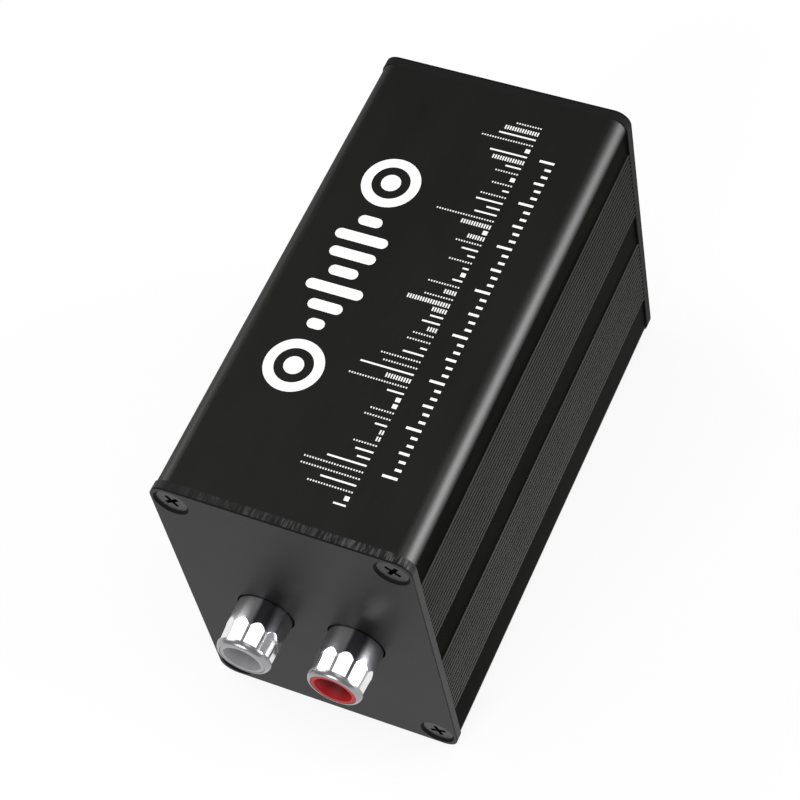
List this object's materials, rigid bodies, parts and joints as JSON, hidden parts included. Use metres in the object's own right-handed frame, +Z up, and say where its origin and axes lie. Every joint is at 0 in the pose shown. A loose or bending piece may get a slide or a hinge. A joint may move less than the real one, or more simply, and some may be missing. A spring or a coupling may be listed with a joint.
{
  "type": "ground loop isolator",
  "caption": "Ground loop isolator in a ribbed black extruded case with screwed end plates and chromed white and red phono jacks at both ends.",
  "frame": {"origin": "centre of the bounding box, on the flat underside", "axes": "+Z up, +Y along the length towards the rear end, +X to the right seen from the front"},
  "size_m": [0.0384, 0.0938, 0.0523],
  "materials": {
    "case_black": "black anodised extrusion, fine satin grain",
    "plate_black": "black anodised sheet, satin, with milled edges",
    "screw_black": "black zinc, semi-gloss",
    "jack_chrome": "bright nickel-chrome plating",
    "insulator_white": "pale grey-white moulded plastic",
    "insulator_red": "red moulded plastic",
    "contact_brass": "plated spring brass",
    "housing_black": "black moulded plastic",
    "board_green": "green glass-epoxy laminate",
    "core_steel": "silicon steel laminations",
    "bobbin_plastic": "black nylon",
    "coil_copper": "enamelled copper wire",
    "tape_yellow": "yellow polyester tape",
    "pin_tin": "tinned wire"
  },
  "bodies": {
    "root": {"case_shell": "case_black", "circuit_board": "board_green", "front_plate": "plate_black", "front_screws": "screw_black", "front_jack_housing": "housing_black", "front_white_jack_shell": "jack_chrome", "front_white_insulator": "insulator_white", "front_white_contact": "contact_brass", "front_red_jack_shell": "jack_chrome", "front_red_insulator": "insulator_red", "front_red_contact": "contact_brass", "rear_plate": "plate_black", "rear_screws": "screw_black", "rear_jack_housing": "housing_black", "rear_white_jack_shell": "jack_chrome", "rear_white_insulator": "insulator_white", "rear_white_contact": "contact_brass", "rear_red_jack_shell": "jack_chrome", "rear_red_insulator": "insulator_red", "rear_red_contact": "contact_brass", "white_channel_e_core": "core_steel", "white_channel_i_core": "core_steel", "white_channel_bobbin": "bobbin_plastic", "white_channel_primary_coil": "coil_copper", "white_channel_secondary_coil": "coil_copper", "white_channel_coil_tape": "tape_yellow", "white_channel_pins": "pin_tin", "red_channel_e_core": "core_steel", "red_channel_i_core": "core_steel", "red_channel_bobbin": "bobbin_plastic", "red_channel_primary_coil": "coil_copper", "red_channel_secondary_coil": "coil_copper", "red_channel_coil_tape": "tape_yellow", "red_channel_pins": "pin_tin"}
  },
  "joints": []
}
